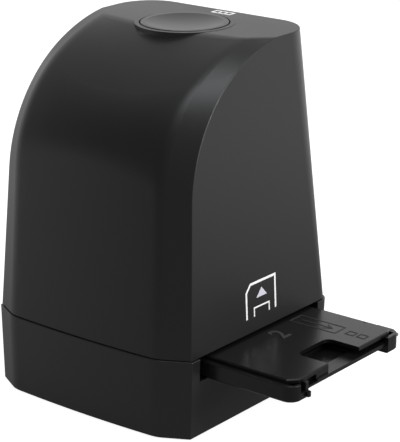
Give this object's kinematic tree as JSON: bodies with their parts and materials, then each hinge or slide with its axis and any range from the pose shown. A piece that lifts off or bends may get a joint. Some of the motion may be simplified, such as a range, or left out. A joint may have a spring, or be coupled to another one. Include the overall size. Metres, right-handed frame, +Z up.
{
  "type": "film negative scanner",
  "caption": "Upright desktop film scanner with an arched one-piece cover, a round scan button on top and a film holder that slides through slots in both sides of the base.",
  "frame": {"origin": "on the surface that the feet stand on, under the middle of the body", "axes": "+X towards the side where the film holder sticks out, -Y towards the bowed front, +Z up"},
  "size_m": [0.1298, 0.0904, 0.1335],
  "materials": {
    "housing_black": "fine textured",
    "button_black": "satin",
    "holder_black": "satin",
    "inner_black": "matt",
    "foot_rubber": "matt",
    "screw_steel": "zinc plated",
    "metal_can": "nickel plated",
    "board_green": "solder mask",
    "chip_black": "moulded epoxy",
    "led_white": "moulded",
    "reflector_white": "satin",
    "diffuser_white": "opal",
    "optical_glass": "polished",
    "filter_glass": "polished",
    "socket_ivory": "moulded",
    "ribbon_white": "film"
  },
  "bodies": {
    "housing": {"upper_housing": "housing_black", "lower_housing": "housing_black", "rubber_feet": "foot_rubber", "housing_screws": "screw_steel", "backlight_board": "board_green", "backlight_leds": "led_white", "backlight_screws": "screw_steel", "light_box": "reflector_white", "diffuser_plate": "diffuser_white", "film_bed": "inner_black", "guide_rail_front": "inner_black", "guide_rail_rear": "inner_black", "film_gate": "inner_black", "optical_chimney": "inner_black", "chimney_screws": "screw_steel", "lens_barrel": "inner_black", "lens_lower": "optical_glass", "lens_upper": "optical_glass", "ir_filter": "filter_glass", "sensor_board": "board_green", "image_sensor": "chip_black", "sensor_screws": "screw_steel", "main_board": "board_green", "main_board_screws": "screw_steel", "image_chip": "chip_black", "memory_chip": "chip_black", "crystal": "metal_can", "capacitors": "metal_can", "usb_socket": "metal_can", "ribbon_sockets": "socket_ivory", "sensor_ribbon": "ribbon_white", "switch_ribbon": "ribbon_white", "backlight_ribbon": "ribbon_white", "switch_board": "board_green", "switch_board_screws": "screw_steel", "tact_switch": "chip_black"},
    "button": {"scan_button": "button_black", "button_retainer": "metal_can"},
    "plunger": {"switch_plunger": "inner_black"},
    "holder": {"holder_base": "holder_black", "holder_lid": "holder_black", "hinge_pins": "screw_steel"}
  },
  "joints": [
    {"name": "button_press", "type": "slide", "parent": "housing", "child": "button", "axis": [0, 0, -1], "range_m": [0, 0.0006], "stiffness_N_per_m": 900, "springref_m": -0.0006},
    {"name": "plunger_press", "type": "slide", "parent": "housing", "child": "plunger", "axis": [0, 0, -1], "range_m": [0, 0.0006]},
    {"name": "holder_slide", "type": "slide", "parent": "housing", "child": "holder", "axis": [1, 0, 0], "range_m": [-0.019, 0.131]}
  ],
  "couplings": [
    {"joint": "plunger_press", "follows": "button_press", "ratio": 1}
  ]
}
